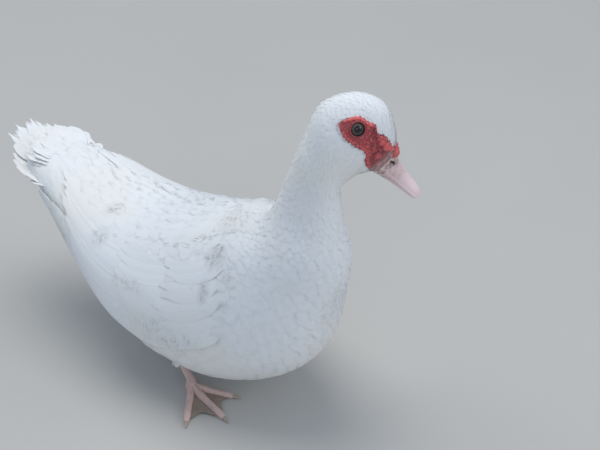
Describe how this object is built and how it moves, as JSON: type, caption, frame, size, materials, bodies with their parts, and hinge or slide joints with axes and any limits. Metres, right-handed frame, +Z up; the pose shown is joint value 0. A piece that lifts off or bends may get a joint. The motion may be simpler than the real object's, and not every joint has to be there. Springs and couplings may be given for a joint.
{
  "type": "muscovy duck",
  "caption": "White domestic Muscovy hen, life size, standing square with her head turned to her left, folded wings and a fanned tail.",
  "frame": {"origin": "on the floor, under the middle of the outline", "axes": "+X the way the body faces, +Y the hen's left, +Z up"},
  "size_m": [0.4528, 0.1852, 0.3456],
  "materials": {
    "plumage": "white feathers, matt with a soft sheen",
    "face_skin": "bare red warty skin, slightly moist",
    "bill": "pale pink horn, satin, greyer at the root",
    "eye": "dark brown, glossy and wet",
    "foot_skin": "scaly skin, dusty brown-grey web and pinkish toes",
    "claw": "horn, worn and dusty"
  },
  "bodies": {
    "root": {"head": "plumage", "neck": "plumage", "torso": "plumage", "tail": "plumage", "bill_upper": "bill", "bill_lower": "bill", "bill_knob": "face_skin", "face_skin_right": "face_skin", "eye_right": "eye", "wing_right": "plumage", "face_skin_left": "face_skin", "eye_left": "eye", "wing_left": "plumage", "thigh_right": "plumage", "shank_right": "foot_skin", "foot_right": "foot_skin", "claw_right_outer": "claw", "claw_right_middle": "claw", "claw_right_inner": "claw", "thigh_left": "plumage", "shank_left": "foot_skin", "foot_left": "foot_skin", "claw_left_outer": "claw", "claw_left_middle": "claw", "claw_left_inner": "claw"}
  },
  "joints": []
}
